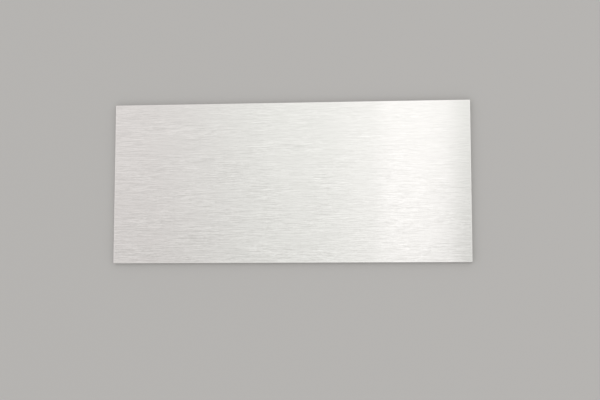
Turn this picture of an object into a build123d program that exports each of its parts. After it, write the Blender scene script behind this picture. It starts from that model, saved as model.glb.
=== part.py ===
"""Rectangular brushed aluminium plate, cut to size from sheet stock.

The plate lies flat with its brushed face up. The origin is the centre of the back face.
+X runs along the plate's length and the brushing, +Y across its width, and +Z out of the brushed face.
Every size is in millimetres.
"""

import os

from build123d import *

# Driving dimensions
length = 254.0
width = 114.3
thickness = 3.175

# The four corners are touched with a file, and both rims are deburred
corner_radius = 0.6
edge_break = 0.2

os.makedirs("parts", exist_ok=True)

# Plate, from its rectangular blank to its deburred rims
with BuildPart() as plate:
    with BuildSketch(Plane.XY):
        RectangleRounded(length, width, corner_radius)
    extrude(amount=thickness)

    back_face = plate.faces().sort_by(Axis.Z)[0]
    brushed_face = plate.faces().sort_by(Axis.Z)[-1]
    chamfer(back_face.edges() + brushed_face.edges(), length=edge_break)

plate.part.label = "plate"
export_step(plate.part, "parts/plate.step")
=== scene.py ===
"""Brushed aluminium plate: its shape, its finishes, a pale floor, the studio light and the camera.

Lengths are in metres, in the plate's own frame: +X along the length and the brushing, +Y across the
width and +Z out of the brushed face. The back face lies at height 0.
"""

import math

import bpy
from mathutils import Euler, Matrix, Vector


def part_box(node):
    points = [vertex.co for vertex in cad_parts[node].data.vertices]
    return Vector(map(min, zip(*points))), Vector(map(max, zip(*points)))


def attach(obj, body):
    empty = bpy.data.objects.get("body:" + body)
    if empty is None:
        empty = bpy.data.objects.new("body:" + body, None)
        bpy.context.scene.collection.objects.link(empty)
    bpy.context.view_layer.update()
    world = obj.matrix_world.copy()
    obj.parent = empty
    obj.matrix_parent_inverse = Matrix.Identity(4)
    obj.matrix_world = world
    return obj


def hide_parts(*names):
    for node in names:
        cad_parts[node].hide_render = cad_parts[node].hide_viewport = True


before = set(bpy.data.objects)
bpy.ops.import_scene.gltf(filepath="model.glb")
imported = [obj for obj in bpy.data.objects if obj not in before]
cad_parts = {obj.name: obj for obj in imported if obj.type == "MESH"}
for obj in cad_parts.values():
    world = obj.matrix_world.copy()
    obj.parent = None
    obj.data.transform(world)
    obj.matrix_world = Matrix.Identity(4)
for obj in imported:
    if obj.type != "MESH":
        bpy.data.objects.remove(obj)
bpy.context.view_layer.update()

MM = 0.001

# Plate: its three sides come from the frame. Its corners and rims are rounded, each in this many steps,
# and points of its wall and its faces that lie nearer than the weld become one.
plate_low, plate_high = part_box("plate")
LENGTH, WIDTH, THICKNESS = Vector(plate_high) - Vector(plate_low)
CORNER_RADIUS = 0.6 * MM
RIM_RADIUS = 0.2 * MM
CORNER_STEPS = 6
RIM_STEPS = 3
WELD = 0.02 * MM

# Flat parts have a normal with more than this along one axis, and rounded ones have less
FLAT = 0.999

# Map that the finishes are laid out on: rows from the bottom up, as shares of its height. The two short
# edges lie in one row, and each takes this share of it.
MAP_NAME = "OFBake"
MAP_MARGIN = 0.008
MAP_ROWS = {
    "short_edges": 0.015,
    "far_edge": 0.015,
    "near_edge": 0.015,
    "mill_back": 0.29,
    "brushed_face": 0.601,
}
SHORT_EDGE_SHARE = 0.49

# Noise runs from 0 to 1 about its middle, with these spreads along a line, on a face and in a solid
NOISE_MIDDLE = 0.5
LINE_SPREAD = 0.154
FLAT_SPREAD = 0.16
SOLID_SPREAD = 0.13

# A layer's number times this many cells shifts its noise, and noise in a solid is also raised
LAYER_SHIFT = (7.3, 3.1)
SOLID_RAISE = 0.5

# Finer noises that are added to the marks that have any
MARK_DETAIL = 2.0

# Which way the marks of a finish run on the map, as a share of a whole turn from upright. Its highlight
# is stretched across them.
UPRIGHT = 0.0
LENGTHWISE = 0.25

# In each finish the marks reach as far as its range each side of 0. The lowest have the first tone and
# the second roughness, and the highest have the other two.

# Brushed face: each layer of strokes has a stroke's length, its row's width and a share of the grain
STROKES = (
    (2.0 * MM, 0.25 * MM, 0.27),
    (3.2 * MM, 0.2 * MM, 0.27),
    (5.0 * MM, 0.3 * MM, 0.38),
    (8.0 * MM, 0.25 * MM, 0.38),
    (12.0 * MM, 0.35 * MM, 0.45),
    (20.0 * MM, 0.3 * MM, 0.33),
    (32.0 * MM, 0.35 * MM, 0.37),
    (55.0 * MM, 0.2 * MM, 0.54),
)
GROOVE_TONE = (0.762, 0.757, 0.737)
RIDGE_TONE = (0.978, 0.973, 0.954)
GRAIN_RANGE = 3.2
BRUSHED_ROUGHNESS = (0.144, 0.206)
GRAIN_HEIGHT = 0.001 * MM
GRAIN_STRETCH = 1.0

# The rows of two layers are numbered this far apart, and a row starts up to this many strokes along
ROWS_APART = 1000.0
ROW_STARTS = 1000.0

# The rows sway sideways
WANDER_CELL = (30.0 * MM, 12.0 * MM)
WANDER_LAYER = 20
WANDER_REACH = 0.06 * MM

# Pressure of the brush at the plate's middle; a painted fade of the grain for each metre to the right
# and to the far edge, which makes the streaks fainter where the highlight lies; and the share by which
# the pressure changes from place to place
PRESSURE = 1.0
PAINTED_FADE_TO_RIGHT = 2.4
PAINTED_FADE_TO_FAR_EDGE = 8.2
PRESSURE_CELL = (24.0 * MM, 11.0 * MM)
PRESSURE_LAYER = 31
PRESSURE_CHANGE = 0.2

# Handling has burnished the face along its rim, and a painted highlight lightens it there too, in a band
# whose inner edge sways
WEAR_AND_HIGHLIGHT_TONE = (0.95, 0.945, 0.93)
WEAR_AND_HIGHLIGHT_WIDTH = 1.0 * MM
WEAR_AND_HIGHLIGHT_CELL = (9.0 * MM, 9.0 * MM)
WEAR_AND_HIGHLIGHT_LAYER = 40
WEAR_AND_HIGHLIGHT_SWAY = 0.15 * MM

# Cut edge: fine marks that stand up the edge, in tones that are dark partly because cut metal is duller
# and partly as painted shade, standing in for a dark reflection in the wall
CUT_CELL = (0.3 * MM, 0.3 * MM, 6.0 * MM)
CUT_RANGE = 2.5
CUT_SHADED_LOW_TONE = (0.52, 0.51, 0.495)
CUT_SHADED_HIGH_TONE = (0.80, 0.79, 0.77)
CUT_ROUGHNESS = (0.26, 0.38)
CUT_HEIGHT = 0.004 * MM
CUT_STRETCH = 0.6

# Mill back: faint rolling lines along the length, under dull clouds
ROLL_CELL = (60.0 * MM, 0.8 * MM)
CLOUD_CELL = (45.0 * MM, 25.0 * MM)
CLOUD_LAYER = 1
CLOUD_SHARE = 0.7
BACK_RANGE = 3.0
BACK_LOW_TONE = (0.72, 0.715, 0.70)
BACK_HIGH_TONE = (0.86, 0.855, 0.84)
BACK_ROUGHNESS = (0.26, 0.36)
ROLL_HEIGHT = 0.001 * MM
BACK_STRETCH = 0.5

# Camera, as it stood before the plate: its lens in millimetres, its turn, and how far it is from the
# point that it looks at
LENS = 63.24
CAMERA_TURN = (math.radians(5.68), math.radians(5.125), 0.0)
CAMERA_DISTANCE = 0.7446
AIM = Vector((6.87 * MM, -12.82 * MM, THICKNESS))
EYE = AIM + Euler(CAMERA_TURN).to_matrix() @ Vector((0.0, 0.0, CAMERA_DISTANCE))

FLOOR_SIDE = 10.0
FLOOR_TONE = (0.60, 0.60, 0.587)

# Room: the ceiling's brightness to the right and beyond, and how far it takes the horizon's place
# upwards, as stops that each have the sine of an angle and a level
ACROSS_LIGHT = (
    (-0.60, 0.86),
    (-0.24, 0.727),
    (-0.04, 0.925),
    (0.04, 0.925),
    (0.30, 0.86),
    (0.50, 0.78),
)
ALONG_LIGHT = ((-0.60, 1.0), (-0.14, 0.76), (0.30, 1.27), (0.52, 0.84))
UP_LIGHT = ((0.10, 0.0), (0.60, 1.0))

# Its dim corner: the share by which the light changes to the right, and how much of that holds beyond
CORNER_ACROSS = ((0.035, 0.0), (0.08, -0.40), (0.20, -0.40), (0.50, 0.0))
CORNER_ALONG = ((-0.55, 0.0), (-0.30, 1.0), (0.0, 1.0), (0.20, 0.0))

# Its tints: how far the ceiling's middle tint takes the place of its side tint, and the horizon's own
TINT_ACROSS = ((-0.25, 0.0), (-0.12, 1.0), (0.06, 1.0), (0.20, 0.3))
SIDE_TINT = (1.025, 0.985, 0.98)
MIDDLE_TINT = (0.999, 1.0, 0.98)
HORIZON_LIGHT = 0.55
HORIZON_TINT = (1.0, 0.985, 0.96)

# Softboxes, all aimed at one point: the key light, and two that each have a place, a side and a
# brightness
LIGHT_AIM = (0.0, 0.0, 0.0)
WHITE = (1.0, 1.0, 1.0)
KEY_PLACE = (1.1, 1.1, 1.9)
KEY_SIDE = 1.6
KEY_LIGHT = 0.15
SIDE_LIGHTS = {
    "back_left_softbox": ((-1.5, 1.25, 0.9), 0.55, 0.35),
    "front_right_softbox": ((1.5, -1.7, 0.62), 0.55, 0.45),
}

# Strips of light, each given by the stretch of the plate's face that mirrors it: that stretch's left
# and right end, the strip's height over the face and its brightness. Its width is a share of its height.
STRIPS = {
    "wide_strip": (37.0 * MM, 113.0 * MM, 1.3, 0.073),
    "narrow_strip": (65.0 * MM, 117.0 * MM, 0.5, 0.141),
}
STRIP_ROW = -10.0 * MM
STRIP_SPREAD = 0.55
STRIP_TINT = (1.0, 0.91, 0.98)


def put(tree, kind, inputs=(), **settings):
    """Adds a node. An input takes a plain value, or another node's socket to link from."""
    node = tree.nodes.new(kind)
    for name, value in settings.items():
        setattr(node, name, value)
    for key, value in dict(inputs).items():
        if isinstance(value, bpy.types.NodeSocket):
            tree.links.new(value, node.inputs[key])
        else:
            node.inputs[key].default_value = value
    return node


def calculate(tree, operation, *values):
    """One step of arithmetic, whose values are numbers or sockets."""
    return put(tree, "ShaderNodeMath", enumerate(values), operation=operation).outputs[0]


def axes(tree, vector):
    """A vector's three numbers, by the names X, Y and Z."""
    return put(tree, "ShaderNodeSeparateXYZ", {0: vector}).outputs


def add_object(name, data):
    """A new object in the scene, at the origin."""
    added = bpy.data.objects.new(name, data)
    bpy.context.scene.collection.objects.link(added)
    return added


# Shape


def filleted(tree, curve, radius, steps):
    """A curve with each of its corners rounded, in this many steps."""
    rounded = put(
        tree,
        "GeometryNodeFilletCurve",
        {"Curve": curve, "Radius": radius, "Count": steps},
        mode="POLY",
    )
    return rounded.outputs[0]


def rounded_rectangle(tree, length, width, radius, steps):
    rectangle = put(tree, "GeometryNodeCurvePrimitiveQuadrilateral", {"Width": length, "Height": width})
    return filleted(tree, rectangle.outputs[0], radius, steps)


def wall_profile(tree, thickness, radius, steps):
    """The plate's section at its edge, from the brushed face's rim out and down to the back's."""
    down = calculate(tree, "MULTIPLY", thickness, -1.0)
    inwards = calculate(tree, "MULTIPLY", radius, -1.0)
    corners = (
        put(tree, "ShaderNodeCombineXYZ", {"X": inwards, "Y": down}),
        put(tree, "ShaderNodeCombineXYZ", {"Y": down}),
        put(tree, "ShaderNodeCombineXYZ"),
        put(tree, "ShaderNodeCombineXYZ", {"X": inwards}),
    )
    points = {f"Point {number}": corner.outputs[0] for number, corner in enumerate(corners, 1)}
    square = put(tree, "GeometryNodeCurvePrimitiveQuadrilateral", points, mode="POINTS")
    opened = put(
        tree, "GeometryNodeSetSplineCyclic", {"Geometry": square.outputs[0], "Cyclic": False}
    )
    return filleted(tree, opened.outputs[0], radius, steps)


def plate_shape_tree():
    """A wall with rounded rims swept round a rounded rectangle, and closed by two flat faces."""
    tree = bpy.data.node_groups.new("plate_shape", "GeometryNodeTree")
    for name in ("Length", "Width", "Thickness", "Corner Radius", "Rim Radius", "Weld"):
        tree.interface.new_socket(name, in_out="INPUT", socket_type="NodeSocketFloat")
    for name in ("Corner Steps", "Rim Steps"):
        tree.interface.new_socket(name, in_out="INPUT", socket_type="NodeSocketInt")
    for name in ("Brushed Face", "Cut Edge", "Mill Back"):
        tree.interface.new_socket(name, in_out="INPUT", socket_type="NodeSocketMaterial")
    tree.interface.new_socket("Geometry", in_out="OUTPUT", socket_type="NodeSocketGeometry")
    size = put(tree, "NodeGroupInput").outputs

    outline = rounded_rectangle(
        tree, size["Length"], size["Width"], size["Corner Radius"], size["Corner Steps"]
    )
    profile = wall_profile(tree, size["Thickness"], size["Rim Radius"], size["Rim Steps"])
    wall = put(tree, "GeometryNodeCurveToMesh", {"Curve": outline, "Profile Curve": profile})

    both_rims = calculate(tree, "MULTIPLY", size["Rim Radius"], 2.0)
    flat_outline = rounded_rectangle(
        tree,
        calculate(tree, "SUBTRACT", size["Length"], both_rims),
        calculate(tree, "SUBTRACT", size["Width"], both_rims),
        calculate(tree, "SUBTRACT", size["Corner Radius"], size["Rim Radius"]),
        size["Corner Steps"],
    )
    flat = put(tree, "GeometryNodeFillCurve", {"Curve": flat_outline}, mode="NGONS")
    lift = put(tree, "ShaderNodeCombineXYZ", {"Z": size["Thickness"]})
    front = put(
        tree,
        "GeometryNodeTransform",
        {"Geometry": flat.outputs[0], "Translation": lift.outputs[0]},
    )
    back = put(tree, "GeometryNodeFlipFaces", {"Mesh": flat.outputs[0]})

    joined = put(tree, "GeometryNodeJoinGeometry")
    for part in (wall, front, back):
        tree.links.new(part.outputs[0], joined.inputs[0])
    welded = put(
        tree,
        "GeometryNodeMergeByDistance",
        {"Geometry": joined.outputs[0], "Distance": size["Weld"]},
    )
    shape = put(tree, "GeometryNodeRealizeInstances", {"Geometry": welded.outputs[0]}).outputs[0]

    facing = axes(tree, put(tree, "GeometryNodeInputNormal").outputs[0])["Z"]
    up = calculate(tree, "GREATER_THAN", facing, FLAT)
    down = calculate(tree, "LESS_THAN", facing, -FLAT)
    for finish, where in (("Cut Edge", True), ("Brushed Face", up), ("Mill Back", down)):
        painted = put(
            tree,
            "GeometryNodeSetMaterial",
            {"Geometry": shape, "Selection": where, "Material": size[finish]},
        )
        shape = painted.outputs[0]
    put(tree, "NodeGroupOutput", {"Geometry": shape})
    return tree


def shaped_mesh(tree, sizes):
    """The mesh that a tree makes with these values for its named inputs."""
    blank = add_object("blank", bpy.data.meshes.new("blank"))
    modifier = blank.modifiers.new("shape", "NODES")
    modifier.node_group = tree
    for item in tree.interface.items_tree:
        if item.in_out == "INPUT":
            modifier[item.identifier] = sizes[item.name]
    shown = blank.evaluated_get(bpy.context.evaluated_depsgraph_get())
    mesh = bpy.data.meshes.new_from_object(shown)
    bpy.data.objects.remove(blank)
    return mesh


def map_rows():
    """Each row of the map, as its name and its lowest and highest place."""
    bottom = MAP_MARGIN
    for name, height in MAP_ROWS.items():
        yield name, (bottom, bottom + height)
        bottom += height + MAP_MARGIN


def row_and_place(face, point):
    """The map row that a face lies in, and a point's place along and up that row, from 0 to 1."""
    along = point.x / LENGTH + 0.5
    across = point.y / WIDTH + 0.5
    up = point.z / THICKNESS
    if face.normal.z > FLAT:
        return "brushed_face", along, across
    if face.normal.z < -FLAT:
        return "mill_back", along, across
    if abs(face.normal.x) > abs(face.normal.y):
        start = 1 - SHORT_EDGE_SHARE if face.normal.x > 0 else 0.0
        return "short_edges", start + SHORT_EDGE_SHARE * across, up
    return ("near_edge" if face.normal.y < 0 else "far_edge"), along, up


def lay_out(mesh):
    """Gives the mesh its map, with the brushing along U, and smooths the rims and the corners."""
    rows = dict(map_rows())
    uv_map = mesh.uv_layers.new(name=MAP_NAME)
    for face in mesh.polygons:
        face.use_smooth = max(map(abs, face.normal)) < FLAT
        for corner in face.loop_indices:
            point = mesh.vertices[mesh.loops[corner].vertex_index].co
            name, along, up = row_and_place(face, point)
            bottom, top = rows[name]
            uv_map.uv[corner].vector = (
                MAP_MARGIN + along * (1 - 2 * MAP_MARGIN),
                bottom + up * (top - bottom),
            )


# Finishes


def new_finish(name):
    """A material that has no nodes yet."""
    material = bpy.data.materials.new(name)
    material.use_nodes = True
    material.node_tree.nodes.clear()
    return material


def object_place(tree):
    """A point's place in the plate's own frame."""
    return put(tree, "ShaderNodeTexCoord").outputs["Object"]


def evened(tree, noise, spread):
    """A noise node's value, moved to lie about 0 with a spread of 1."""
    centred = calculate(tree, "SUBTRACT", noise.outputs[0], NOISE_MIDDLE)
    return calculate(tree, "DIVIDE", centred, spread)


def stretched_noise(tree, place, cell, number=0, detail=0.0):
    """Noise about 0 with a spread of 1, whose cells have these sides: two on a face, three in a solid.

    The number shifts it, so that no two layers are alike.
    """
    flat = len(cell) == 2
    sides = (*cell, 1.0) if flat else cell
    mapping = put(
        tree,
        "ShaderNodeMapping",
        {
            "Vector": place,
            "Location": (*(shift * number for shift in LAYER_SHIFT), SOLID_RAISE),
            "Scale": [1 / side for side in sides],
        },
    )
    noise = put(
        tree,
        "ShaderNodeTexNoise",
        {"Vector": mapping.outputs[0], "Scale": 1.0, "Detail": detail},
        noise_dimensions="2D" if flat else "3D",
    )
    return evened(tree, noise, FLAT_SPREAD if flat else SOLID_SPREAD)


def scaled(tree, value, low, high, to_low, to_high, soft=False):
    """A value carried over from one range to another, and held within it. Soft eases both its ends."""
    spread = put(
        tree,
        "ShaderNodeMapRange",
        {"Value": value, "From Min": low, "From Max": high, "To Min": to_low, "To Max": to_high},
        interpolation_type="SMOOTHSTEP" if soft else "LINEAR",
    )
    return spread.outputs[0]


def blended(tree, share, low, high):
    """A colour between two, which are plain colours or another node's socket."""
    ends = [end if isinstance(end, bpy.types.NodeSocket) else (*end, 1.0) for end in (low, high)]
    blend = put(
        tree,
        "ShaderNodeMix",
        {"Factor": share, "A": ends[0], "B": ends[1]},
        data_type="RGBA",
    )
    return blend.outputs["Result"]


def toned(tree, marks, reach, low_tone, high_tone, roughness):
    """Colour and roughness from marks that reach this far each side of 0. Low is darker and duller."""
    colour = blended(tree, scaled(tree, marks, -reach, reach, 0.0, 1.0), low_tone, high_tone)
    smooth, rough = roughness
    return colour, scaled(tree, marks, -reach, reach, rough, smooth)


def metal(tree, colour, roughness, height, height_scale, stretch, turn):
    """Bare metal, with a bump from its marks and a highlight that is stretched across them."""
    tangent = put(tree, "ShaderNodeTangent", direction_type="UV_MAP", uv_map=MAP_NAME)
    bump = put(
        tree, "ShaderNodeBump", {"Height": height, "Distance": height_scale, "Strength": 1.0}
    )
    shader = put(
        tree,
        "ShaderNodeBsdfPrincipled",
        {
            "Base Color": colour,
            "Metallic": 1.0,
            "Roughness": roughness,
            "Anisotropic": stretch,
            "Anisotropic Rotation": turn,
            "Normal": bump.outputs[0],
            "Tangent": tangent.outputs[0],
        },
    )
    put(tree, "ShaderNodeOutputMaterial", {"Surface": shader.outputs[0]})


def stroke_rows(tree, along, across, length, width, number):
    """Strokes of this length, end to end in rows of this width, about 0 with a spread of 1.

    Each row starts at a place of its own, and the number keeps the rows of two layers apart.
    """
    row = calculate(tree, "FLOOR", calculate(tree, "DIVIDE", across, width))
    start = put(
        tree,
        "ShaderNodeTexWhiteNoise",
        {"W": calculate(tree, "ADD", row, ROWS_APART * number)},
        noise_dimensions="1D",
    )
    strokes = calculate(tree, "DIVIDE", along, length)
    place = calculate(tree, "MULTIPLY_ADD", start.outputs["Value"], ROW_STARTS, strokes)
    noise = put(
        tree,
        "ShaderNodeTexNoise",
        {"W": place, "Scale": 1.0, "Detail": 0.0},
        noise_dimensions="1D",
    )
    return evened(tree, noise, LINE_SPREAD)


def brushed_grain(tree):
    """All layers of strokes together, in rows that sway a little.

    They are deeper here and there, where the brush pressed harder, and painted fainter towards the right
    and the far edge, where the highlight lies.
    """
    place = object_place(tree)
    side = axes(tree, place)
    sway = stretched_noise(tree, place, WANDER_CELL, WANDER_LAYER)
    across = calculate(tree, "MULTIPLY_ADD", sway, WANDER_REACH, side["Y"])
    grain = 0.0
    for number, (length, width, share) in enumerate(STROKES):
        strokes = stroke_rows(tree, side["X"], across, length, width, number)
        grain = calculate(tree, "MULTIPLY_ADD", strokes, share, grain)
    # Painted light: the grain fades towards the right and the far edge, where the highlight lies
    to_right = calculate(tree, "MULTIPLY_ADD", side["X"], -PAINTED_FADE_TO_RIGHT, PRESSURE)
    painted_fade = calculate(tree, "MULTIPLY_ADD", side["Y"], -PAINTED_FADE_TO_FAR_EDGE, to_right)
    unevenness = stretched_noise(tree, place, PRESSURE_CELL, PRESSURE_LAYER)
    change = calculate(tree, "MULTIPLY_ADD", unevenness, PRESSURE_CHANGE, 1.0)
    depth_and_painted_fade = calculate(tree, "MULTIPLY", painted_fade, change)
    return calculate(tree, "MULTIPLY", grain, depth_and_painted_fade)


def rim_wear_and_highlight(tree):
    """How far the face is lightened along its rim, by wear from handling and by a painted highlight: 1
    at its rim, and 0 a little way in.
    """
    place = object_place(tree)
    apart = axes(tree, put(tree, "ShaderNodeVectorMath", {0: place}, operation="ABSOLUTE").outputs[0])
    to_end = calculate(tree, "SUBTRACT", LENGTH / 2, apart["X"])
    to_side = calculate(tree, "SUBTRACT", WIDTH / 2, apart["Y"])
    gap = calculate(tree, "MINIMUM", to_end, to_side)
    sway = stretched_noise(tree, place, WEAR_AND_HIGHLIGHT_CELL, WEAR_AND_HIGHLIGHT_LAYER, MARK_DETAIL)
    uneven = calculate(tree, "MULTIPLY_ADD", sway, WEAR_AND_HIGHLIGHT_SWAY, gap)
    return scaled(tree, uneven, 0.0, WEAR_AND_HIGHLIGHT_WIDTH, 1.0, 0.0)


def brushed_face_finish():
    finish = new_finish("brushed_face")
    tree = finish.node_tree
    grain = brushed_grain(tree)
    brushed, roughness = toned(tree, grain, GRAIN_RANGE, GROOVE_TONE, RIDGE_TONE, BRUSHED_ROUGHNESS)
    # The rim's band is lighter partly from wear and partly as a painted highlight
    colour = blended(tree, rim_wear_and_highlight(tree), brushed, WEAR_AND_HIGHLIGHT_TONE)
    metal(tree, colour, roughness, grain, GRAIN_HEIGHT, GRAIN_STRETCH, LENGTHWISE)
    return finish


def cut_edge_finish():
    finish = new_finish("cut_edge")
    tree = finish.node_tree
    marks = stretched_noise(tree, object_place(tree), CUT_CELL, detail=MARK_DETAIL)
    # Painted shade: the cut edge's tones are kept darker than its dull metal alone would be
    colour, roughness = toned(tree, marks, CUT_RANGE, CUT_SHADED_LOW_TONE, CUT_SHADED_HIGH_TONE, CUT_ROUGHNESS)
    metal(tree, colour, roughness, marks, CUT_HEIGHT, CUT_STRETCH, UPRIGHT)
    return finish


def mill_back_finish():
    finish = new_finish("mill_back")
    tree = finish.node_tree
    place = object_place(tree)
    lines = stretched_noise(tree, place, ROLL_CELL, detail=MARK_DETAIL)
    clouds = stretched_noise(tree, place, CLOUD_CELL, CLOUD_LAYER, MARK_DETAIL)
    both = calculate(tree, "MULTIPLY_ADD", clouds, CLOUD_SHARE, lines)
    colour, roughness = toned(tree, both, BACK_RANGE, BACK_LOW_TONE, BACK_HIGH_TONE, BACK_ROUGHNESS)
    metal(tree, colour, roughness, lines, ROLL_HEIGHT, BACK_STRETCH, LENGTHWISE)
    return finish


# Plate


def make_plate():
    sizes = {
        "Length": LENGTH,
        "Width": WIDTH,
        "Thickness": THICKNESS,
        "Corner Radius": CORNER_RADIUS,
        "Rim Radius": RIM_RADIUS,
        "Weld": WELD,
        "Corner Steps": CORNER_STEPS,
        "Rim Steps": RIM_STEPS,
        "Brushed Face": brushed_face_finish(),
        "Cut Edge": cut_edge_finish(),
        "Mill Back": mill_back_finish(),
    }
    mesh = shaped_mesh(plate_shape_tree(), sizes)
    lay_out(mesh)
    plate = add_object("brushed_plate", mesh)
    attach(plate, "root")
    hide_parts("plate")


# Studio


def make_floor():
    half = FLOOR_SIDE / 2
    corners = [(-half, -half, 0), (half, -half, 0), (half, half, 0), (-half, half, 0)]
    mesh = bpy.data.meshes.new("floor")
    mesh.from_pydata(corners, [], [(0, 1, 2, 3)])
    finish = new_finish("floor")
    tree = finish.node_tree
    shader = put(tree, "ShaderNodeBsdfDiffuse", {"Color": (*FLOOR_TONE, 1.0)})
    put(tree, "ShaderNodeOutputMaterial", {"Surface": shader.outputs[0]})
    mesh.materials.append(finish)
    add_object("floor", mesh)


def eased(tree, value, stops):
    """A level that goes from each stop's to the next one's with a soft start and end."""
    level = stops[0][1]
    for (low, before), (high, after) in zip(stops, stops[1:]):
        change = scaled(tree, value, low, high, 0.0, after - before, soft=True)
        level = calculate(tree, "ADD", change, level)
    return level


def ceiling_light(tree, across, along):
    """The ceiling's brightness in a direction: most beyond overhead, and less where a corner lies."""
    ceiling = calculate(
        tree, "MULTIPLY", eased(tree, across, ACROSS_LIGHT), eased(tree, along, ALONG_LIGHT)
    )
    corner = calculate(
        tree, "MULTIPLY", eased(tree, across, CORNER_ACROSS), eased(tree, along, CORNER_ALONG)
    )
    return calculate(tree, "MULTIPLY_ADD", ceiling, corner, ceiling)


def make_room():
    world = bpy.data.worlds.new("room")
    bpy.context.scene.world = world
    world.use_nodes = True
    tree = world.node_tree
    tree.nodes.clear()
    way = axes(tree, put(tree, "ShaderNodeTexCoord").outputs["Generated"])
    height = eased(tree, way["Z"], UP_LIGHT)
    ceiling_tint = blended(tree, eased(tree, way["X"], TINT_ACROSS), SIDE_TINT, MIDDLE_TINT)
    brightness = put(
        tree,
        "ShaderNodeMix",
        {"Factor": height, "A": HORIZON_LIGHT, "B": ceiling_light(tree, way["X"], way["Y"])},
        data_type="FLOAT",
    )
    light = put(
        tree,
        "ShaderNodeBackground",
        {
            "Color": blended(tree, height, HORIZON_TINT, ceiling_tint),
            "Strength": brightness.outputs["Result"],
        },
    )
    put(tree, "ShaderNodeOutputWorld", {"Surface": light.outputs[0]})


def softbox(name, place, aim, size, brightness, tint=WHITE):
    """A soft light of this brightness, in the camera's own scale, that the camera doesn't see."""
    light = bpy.data.lights.new(name, "AREA")
    light.shape = "RECTANGLE"
    light.size, light.size_y = size
    light.color = tint
    light.energy = brightness * math.pi * light.size * light.size_y
    lamp = add_object(name, light)
    lamp.location = place
    lamp.rotation_euler = (Vector(aim) - Vector(place)).to_track_quat("-Z", "Y").to_euler()
    lamp.visible_camera = False


def mirrored(point, height):
    """Where the camera sees something at this height mirrored in a point of the plate's face."""
    away = Vector(point) - EYE
    return Vector(point) + Vector((away.x, away.y, -away.z)) * height / -away.z


def hang_strips():
    for name, (left, right, height, brightness) in STRIPS.items():
        ends = [mirrored((x, STRIP_ROW, THICKNESS), height) for x in (left, right)]
        middle = (ends[0] + ends[1]) / 2
        below = Vector((middle.x, middle.y, 0.0))
        size = (ends[1].x - ends[0].x, height * STRIP_SPREAD)
        softbox(name, middle, below, size, brightness, STRIP_TINT)


def make_camera():
    lens = bpy.data.cameras.new("camera")
    lens.lens = LENS
    camera = add_object("camera", lens)
    camera.rotation_euler = CAMERA_TURN
    camera.location = EYE
    bpy.context.scene.camera = camera


make_plate()
make_floor()
make_room()
softbox("key", KEY_PLACE, LIGHT_AIM, (KEY_SIDE, KEY_SIDE), KEY_LIGHT)
hang_strips()
for name, (place, side, brightness) in SIDE_LIGHTS.items():
    softbox(name, place, LIGHT_AIM, (side, side), brightness)
make_camera()
bpy.context.scene.view_settings.view_transform = "Standard"
